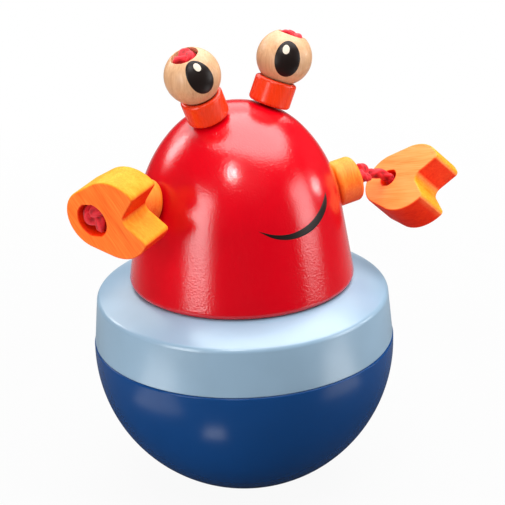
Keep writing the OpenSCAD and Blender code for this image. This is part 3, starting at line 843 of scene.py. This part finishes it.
def braided(path, r, ahead=(0, 1, 0), start=0.0, pitch=PITCH, cols=40, closed=False):
    """Tube along a path with radius r (CORE + RIDGE h), h the higher ridge of two crossing yarns."""
    step = np.linalg.norm(np.diff(path, axis=0), axis=1)
    s = start + np.concatenate([[0], np.cumsum(step)])[:, None]
    if closed:
        tangent = unit(np.roll(path, -1, 0) - np.roll(path, 1, 0))
    else:
        tangent = unit(np.gradient(path, axis=0, edge_order=2))
    u = unit(np.cross(tangent, np.broadcast_to(ahead, tangent.shape)))
    v = np.cross(u, tangent)
    t = np.linspace(0, 2 * np.pi, cols, endpoint=False)
    swap = TOP_SWAP * np.cos(YARNS * t)
    one = (0.5 + 0.5 * np.cos(YARNS * t + pitch * s)) * (MEAN_TOP + swap)
    other = (0.5 + 0.5 * np.cos(YARNS * t - pitch * s)) * (MEAN_TOP - swap)
    h = np.maximum(one, other)
    spoke = u[:, None] * np.cos(t)[:, None] + v[:, None] * np.sin(t)[:, None]
    grid = path[:, None] + (r * (CORE + RIDGE * h))[..., None] * spoke
    if not closed:
        ends = np.repeat(path[[0, -1], None], cols, 1)
        grid = np.concatenate([ends[:1], grid, ends[1:]])
        h = np.concatenate([h[:1], h, h[-1:]])
    return grid, {"lay": h}


def cord_piece(name, strand, body, stands_for=(), wrap=ROUND_WAY):
    """Piece of cord from a strand's grid and marks, smooth all over."""
    grid, marks = strand
    return make_piece(name, grid, body, cord_yarn, stands_for, wrap, marks, SMOOTH_ALL)


print("braid from", round(CORD_R * CORE, 2), "to", round(CORD_R * (CORE + RIDGE), 2), "mm of radius")

# %% [markdown]
# ## Free cords
# The stretch between bead and claw is one smooth curve from the bead's end through the bend to
# the claw's hole. It could be cut into stiff links, but a real cord bends smoothly, so the
# curve is made in two halves, each a piece set in place without a body.

# %% Free cords
for side in SIDES:
    near, bend, far = bead_end[side], cord_bend[side], claw_hole[side]
    t = np.linspace(0, 1, 161)[:, None]
    path = (1 - t) ** 2 * near + 2 * t * (1 - t) * bend + t**2 * far
    half = len(path) // 2
    inner, outer, middle = path[: half + 1], path[half:], path[half]
    for part, points, start, a, b, p, q in (
        ("inner", inner, 0.0, "toy", side + "_bend", near, middle),
        ("outer", outer, length_of(inner), side + "_bend", side + "_end", middle, far),
    ):
        node = side + "_cord_" + part
        piece = cord_piece(node + "_braid", braided(points, CORD_R, start=start), None, [node])
        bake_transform(piece)
    print(side, "cord is free for", round(length_of(path), 1), "mm")

# %% [markdown]
# ## Knots
# The cord ends are tied in an overhand knot, drawn tight and pressed into the counterbore. A
# ball could stand for it, but the picture shows the turns, so its strand follows a
# three-lobed path that weaves up and down three times.

# %% Knots
CLAW_KNOT_R, EYE_KNOT_R = 4.25, 3.4
LOBE, WEAVE, STRAND, KNOT_PITCH = 0.67, 0.3, 0.4, 1.7
KNOT_GAP, KNOT_HALF = 0.3, 0.63


def knot_path(r, n=260):
    """Three-lobed closed turn: k (sin a + 2 sin 2a), k (cos a - 2 cos 2a), -WEAVE r sin 3a."""
    a = np.linspace(0, 2 * np.pi, n, endpoint=False)
    k = LOBE * r / 3
    x, y = k * (np.sin(a) + 2 * np.sin(2 * a)), k * (np.cos(a) - 2 * np.cos(2 * a))
    return np.stack([x, y, -WEAVE * r * np.sin(3 * a)], -1)


def knot(r, turn, at):
    """Braided strand round the knot's path, with a whole number of braid waves, in its place."""
    path = knot_path(r)
    length = length_of(np.concatenate([path, path[:1]]))
    pitch = 2 * np.pi * round(length * KNOT_PITCH / (2 * np.pi)) / length
    grid, marks = braided(path, STRAND * r, (0, 0, 1), pitch=pitch, cols=32, closed=True)
    print("knot of", round(length, 1), "mm of strand")
    return placed(turn, at)(grid), marks


claw_knot_z = CUP_Z + KNOT_GAP + KNOT_HALF * CLAW_KNOT_R
eye_knot_z = eye_z + EYE_CUP_FLOOR + KNOT_GAP + KNOT_HALF * EYE_KNOT_R
for side in SIDES:
    turn, hole = claw_turn[side], claw_hole[side]
    at = hole + claw_knot_z * turn[:, 2]
    strand = knot(CLAW_KNOT_R, turn, at)
    cord_piece(side + "_claw_knot", strand, side + "_end", [side + "_cord_knot"], BOTH_WAYS)
    cord_piece(side + "_claw_cord", braided(straight(hole, at, 50), CORD_R), side + "_end")
    strand = knot(EYE_KNOT_R, eye_turn[side], crown_mid + eye_knot_z * eye_turn[side][:, 2])
    solid = ["eye_cord"] if side == "left" else ()
    cord_piece(side + "_eye_knot", strand, "toy", solid, BOTH_WAYS)

# %% [markdown]
# ## Stopper knot
# Where the claw hangs further out, a stopper knot holds the bead against the dome. It could
# ride on the dome, but it is tied in the same cord, so like the free cords it is set in place
# without a body.

# %% Stopper knot
STOPPER_R, STOPPER_OFF = 3.1, 0.74

stop_at = bead_end["right"] + STOPPER_OFF * STOPPER_R * arm_way["right"]
strand = knot(STOPPER_R, arm_turn["right"], stop_at)
stopper = cord_piece("right_bead_knot", strand, None, (), BOTH_WAYS)
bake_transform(stopper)

# %% [markdown]
# ## Runs inside the dome
# The runs inside hardly show and could be left out, but each cord is whole on the real toy,
# so they are there too. The eye cord goes down from one eye, turns in the crown and goes up
# to the other. The arm cord goes in along one bead, bends through the chamber and comes out
# along the other.

# %% Eye cord
EYE_BEND_R = 3.2

tilt = math.radians(EYE_TILT)
a = np.linspace(math.pi + tilt, 2 * math.pi - tilt, 40)
bend = EYE_BEND_R * np.stack([np.cos(a), 0 * a, 1 / math.sin(tilt) + np.sin(a)], -1)
knot_at = eye_knot_z * np.array([math.sin(tilt), 0, math.cos(tilt)])
left_leg = straight(knot_at * [-1, 1, 1], bend[0], 120)
right_leg = straight(bend[-1], knot_at, 120)
path = np.concatenate([left_leg[:-1], bend, right_leg[1:]]) @ nod.T + crown_mid
cord_piece("eye_cord_run", braided(path, CORD_R, cols=24), "toy")
print("eye cord", round(length_of(path), 1), "mm between its knots")

# %% Arm cord
PULL = 0.7

inner = {}
for side in SIDES:
    inwards = (math.hypot(*arm_foot[side][:2]) - DOWEL_R) / math.hypot(*arm_way[side][:2])
    inner[side] = arm_foot[side] - inwards * arm_way[side]
t = np.linspace(0, 1, 60)[:, None]
first, last = inner["left"], inner["right"]
second, third = first - PULL * DOWEL_R * arm_way["left"], last - PULL * DOWEL_R * arm_way["right"]
curve = (1 - t) ** 3 * first + 3 * t * (1 - t) ** 2 * second + 3 * t**2 * (1 - t) * third + t**3 * last
left_leg, right_leg = straight(bead_end["left"], first, 90), straight(last, bead_end["right"], 90)
path = np.concatenate([left_leg[:-1], curve, right_leg[1:]])
cord_piece("arm_cord_run", braided(path, CORD_R, cols=24), "toy", ["arm_cord"])
print("arm cord", round(length_of(path), 1), "mm from bead to bead")

# %% [markdown]
# ## Floor and background
# The picture is a cut-out on white. A backdrop could be lit until it is white, but that much
# light would wash out the toy. So the floor and the world are white by themselves for the
# camera and through glass, and the floor lets a little of the toy's shadow through near it.
# For rays off gloss both are dim, the floor most in front of the toy and far out beside it:
# the picture's paint mirrors single lamps with dark between them, and a white room turns it
# milky. Close to the toy the floor off gloss is dimmed too, a painted shadow for its gloss to mirror.

# %% World
ROOM_LIGHT, ROOM_GLOSS = 0.03, 0.05


def larger(tree, a, b):
    """The larger of two values."""
    return add(tree, "ShaderNodeMath", {0: a, 1: b}, operation="MAXIMUM").outputs[0]


def sees(tree):
    """Two switches, 1 or 0: rays from the camera or through glass, and these or rays off gloss."""
    path = add(tree, "ShaderNodeLightPath").outputs
    clear = larger(tree, path["Is Camera Ray"], path["Is Transmission Ray"])
    return clear, larger(tree, clear, path["Is Glossy Ray"])


world = bpy.data.worlds.new("grey_room")
bpy.context.scene.world = world
world.use_nodes = True
tree = world.node_tree
clear, any_way = sees(tree)
dim = between(tree, any_way, ROOM_LIGHT, ROOM_GLOSS, 0.0, 1.0)
room = tree.nodes["Background"]
tree.links.new(larger(tree, clear, dim), room.inputs["Strength"])
room.inputs["Color"].default_value = (1, 1, 1, 1)
print("room light", ROOM_LIGHT, "and", ROOM_GLOSS, "off gloss")

# %% Floor
FLOOR_HALF, FLOOR_Z, FLOOR_GREY = 3000.0, -0.02, 0.3
# Each fade goes from one value to another over a span of metres
AHEAD_FADE = (0.5, 0.04, 0.0, 0.2)
BESIDE_FADE = (1.0, 0.08, 0.1, 0.3)
# Painted shadow: close to the toy the floor's glow off gloss fades out.
PAINTED_SHADOW_FADE = (0.08, 1.0, 0.06, 0.2)
SHADOW_FADE = (0.94, 1.0, 0.12, 0.35)


def product(tree, a, b):
    """Two values multiplied."""
    return add(tree, "ShaderNodeMath", {0: a, 1: b}, operation="MULTIPLY").outputs[0]


def along_way(tree, spot, way):
    """How far a spot lies along a direction."""
    feeds = {0: spot, 1: tuple(way)}
    return add(tree, "ShaderNodeVectorMath", feeds, operation="DOT_PRODUCT").outputs["Value"]


floor_white, tree, shader = new_finish("floor_white")
shader.inputs["Base Color"].default_value = (FLOOR_GREY, FLOOR_GREY, FLOOR_GREY, 1)
shader.inputs["Roughness"].default_value = 0.5
spot = add(tree, "ShaderNodeTexCoord").outputs["Object"]
ahead = along_way(tree, spot, heading(AZIMUTH, 0))
beside = along_way(tree, spot, level)
beside = add(tree, "ShaderNodeMath", {0: beside}, operation="ABSOLUTE").outputs[0]
apart = add(tree, "ShaderNodeVectorMath", {0: spot}, operation="LENGTH").outputs["Value"]
dim = product(tree, between(tree, ahead, *AHEAD_FADE), between(tree, beside, *BESIDE_FADE))
dim = product(tree, dim, between(tree, apart, *PAINTED_SHADOW_FADE))
clear, any_way = sees(tree)
white = {"Color": (1, 1, 1, 1), "Strength": larger(tree, clear, dim)}
glow = add(tree, "ShaderNodeEmission", white).outputs[0]
share = product(tree, any_way, between(tree, apart, *SHADOW_FADE))
mixed = add(tree, "ShaderNodeMixShader", {0: share, 1: shader.outputs[0], 2: glow})
tree.links.new(mixed.outputs[0], tree.nodes["Material Output"].inputs["Surface"])

corners = [(x * FLOOR_HALF * MM, y * FLOOR_HALF * MM, FLOOR_Z * MM) for x in (-1, 1) for y in (-1, 1)]
floor_mesh = bpy.data.meshes.new("floor")
floor_mesh.from_pydata(corners, [], [(0, 2, 3, 1)])
floor_mesh.materials.append(floor_white)
floor = bpy.data.objects.new("floor", floor_mesh)
bpy.context.collection.objects.link(floor)
print("floor", 2 * FLOOR_HALF * MM, "m wide")

# %% [markdown]
# ## Lamps
# The gloss shows where the picture's lamps stood: a long soft box at each side, a wide one
# overhead and two small bright lamps. Two boxes behind light the edges. A single sun would
# light the toy as well, but its gloss would show one spot. The lamps that the gloss shows are
# placed where their reflections fall as in the picture. Three fills light the shaded sides
# and show in no gloss, and three small cards on the floor give the base its low highlights.

# %% Soft boxes
AIM, TOP_AIM = np.array([0, 0, 60.0]), np.array([225, -15, 60.0])
# Name, azimuth, elevation, distance, width, height, watts, and a shape and an aim if not the usual
BOXES = (
    ("left_box", -77, 11, 520, 220, 340, 1.25),
    ("right_box", 46, 9, 520, 210, 300, 0.8),
    ("top_box", AZIMUTH, 89.9, 620, 1080, 820, 10.6, "ELLIPSE", TOP_AIM),
    ("key_lamp", -42, 50, 560, 76, 76, 0.64, "DISK"),
    ("right_lamp", 72, 11, 520, 36, 50, 0.2),
    ("rim_box", -154, 29, 520, 130, 170, 0.45),
    ("back_box", 158, 38, 640, 900, 420, 2.3),
)
FILLS = (
    ("right_fill", 98, 14, 600, 300, 300, 0.8),
    ("left_fill", -112, 14, 600, 300, 300, 0.45),
    ("front_fill", -12, 48, 600, 300, 300, 0.6),
)


def area_lamp(name, shape, wide, tall, power, axes, at):
    """Area lamp that shines along its own -Z and that the camera doesn't see."""
    lamp = bpy.data.objects.new(name, bpy.data.lights.new(name, "AREA"))
    bpy.context.collection.objects.link(lamp)
    lamp.data.shape = shape
    lamp.data.size, lamp.data.size_y = wide * MM, tall * MM
    lamp.data.energy = power
    lamp.matrix_world = pose(axes, at)
    lamp.visible_camera = False
    print(name, power, "W at", np.round(at))
    return lamp


def soft_box(name, azimuth, elevation, distance, wide, tall, power, shape="RECTANGLE", aim=AIM):
    """Lamp in a direction and at a distance from the point that it shines at."""
    way = heading(azimuth, elevation)
    side = unit(np.cross(UP, way))
    return area_lamp(name, shape, wide, tall, power, (side, np.cross(way, side), way), aim + distance * way)


for box in BOXES:
    soft_box(*box)
for box in FILLS:
    soft_box(*box).visible_glossy = False

# %% Floor cards
CARD_Z = 1.0
# Name, x, y, width, length, watts
CARDS = (
    ("left_card", -140, 0, 60, 110, 0.045),
    ("right_card", 88, -132, 60, 110, 0.05),
    ("front_card", -53, -43, 14, 14, 0.003),
)
for name, x, y, wide, tall, power in CARDS:
    away = unit([x, y, 0.0])
    area_lamp(name, "RECTANGLE", wide, tall, power, (np.cross(away, UP), -away, -UP), (x, y, CARD_Z))
